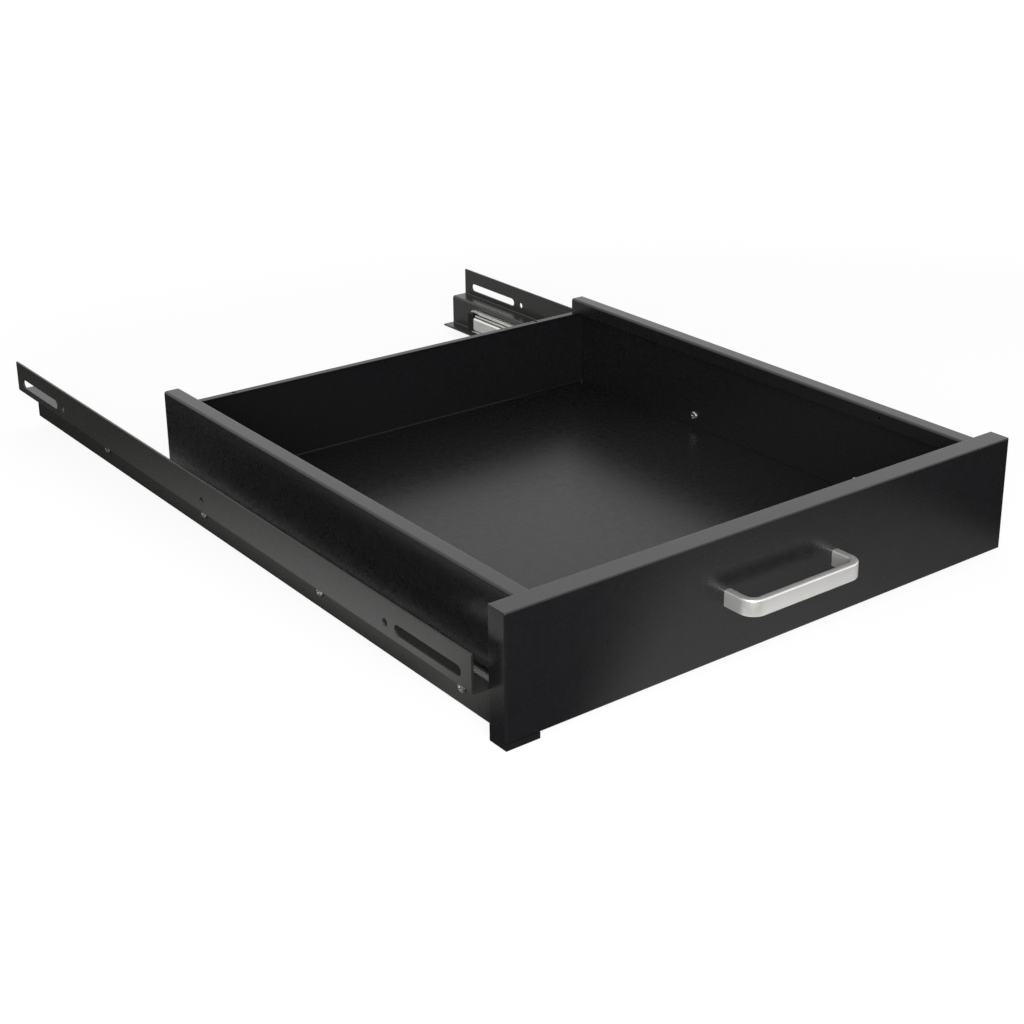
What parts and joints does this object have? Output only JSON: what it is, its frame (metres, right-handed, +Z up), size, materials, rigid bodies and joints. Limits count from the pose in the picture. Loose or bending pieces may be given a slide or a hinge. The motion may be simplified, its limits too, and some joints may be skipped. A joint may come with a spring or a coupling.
{
  "type": "sliding rack drawer",
  "caption": "Folded steel equipment-rack drawer with a bow handle, on telescopic ball-bearing slides carried by slotted side brackets.",
  "frame": {"origin": "middle of the rack bay's opening: midway between the two brackets, in the plane of their front ends, level with the lower edge of the front panel", "axes": "+X to the right seen from the front, +Y back into the rack along the slides, +Z up"},
  "size_m": [0.4826, 0.7297, 0.0931],
  "materials": {
    "black_powder_coat": "satin black powder coat with a fine texture",
    "zinc_plate": "bright zinc plate on cold-rolled steel",
    "cage_steel": "plain pressed steel strip",
    "bearing_steel": "polished bearing balls",
    "fastener_zinc": "zinc-plated screws and rivets",
    "satin_nickel": "satin nickel plate",
    "black_rubber": "matt black rubber",
    "lever_plastic": "moulded black plastic"
  },
  "bodies": {
    "rack_rails": {"left_bracket": "black_powder_coat", "right_bracket": "black_powder_coat", "left_outer_member": "zinc_plate", "right_outer_member": "zinc_plate", "left_rear_bumper": "black_rubber", "right_rear_bumper": "black_rubber", "bracket_screws": "fastener_zinc"},
    "intermediate_members": {"left_intermediate_member": "zinc_plate", "right_intermediate_member": "zinc_plate"},
    "outer_cages": {"left_outer_ball_cage": "cage_steel", "right_outer_ball_cage": "cage_steel", "left_outer_balls": "bearing_steel", "right_outer_balls": "bearing_steel"},
    "inner_cages": {"left_inner_ball_cage": "cage_steel", "right_inner_ball_cage": "cage_steel", "left_inner_balls": "bearing_steel", "right_inner_balls": "bearing_steel"},
    "drawer": {"front_panel": "black_powder_coat", "floor_pan": "black_powder_coat", "left_side_wall": "black_powder_coat", "right_side_wall": "black_powder_coat", "handle": "satin_nickel", "handle_screws": "fastener_zinc", "panel_screws": "fastener_zinc", "left_inner_member": "zinc_plate", "right_inner_member": "zinc_plate", "wall_screws": "fastener_zinc", "lever_rivets": "fastener_zinc", "corner_pad": "black_rubber"},
    "left_lever": {"left_disconnect_lever": "lever_plastic"},
    "right_lever": {"right_disconnect_lever": "lever_plastic"}
  },
  "joints": [
    {"name": "drawer_slide", "type": "slide", "parent": "rack_rails", "child": "drawer", "axis": [0, -1, 0], "range_m": [0, 0.61]},
    {"name": "intermediate_slide", "type": "slide", "parent": "rack_rails", "child": "intermediate_members", "axis": [0, -1, 0], "range_m": [0, 0.305]},
    {"name": "outer_cage_slide", "type": "slide", "parent": "rack_rails", "child": "outer_cages", "axis": [0, -1, 0], "range_m": [0, 0.1525]},
    {"name": "inner_cage_slide", "type": "slide", "parent": "rack_rails", "child": "inner_cages", "axis": [0, -1, 0], "range_m": [0, 0.4575]},
    {"name": "left_lever_hinge", "type": "hinge", "parent": "drawer", "child": "left_lever", "pos_m": [-0.2138, 0.295, 0.0166], "axis": [1, 0, 0], "range_deg": [0, 7.5], "stiffness_Nm_per_rad": 0.15, "springref_deg": -2.86},
    {"name": "right_lever_hinge", "type": "hinge", "parent": "drawer", "child": "right_lever", "pos_m": [0.2138, 0.295, 0.0166], "axis": [1, 0, 0], "range_deg": [0, 7.5], "stiffness_Nm_per_rad": 0.15, "springref_deg": -2.86}
  ],
  "couplings": [
    {"joint": "intermediate_slide", "follows": "drawer_slide", "ratio": 0.5},
    {"joint": "outer_cage_slide", "follows": "drawer_slide", "ratio": 0.25},
    {"joint": "inner_cage_slide", "follows": "drawer_slide", "ratio": 0.75}
  ]
}
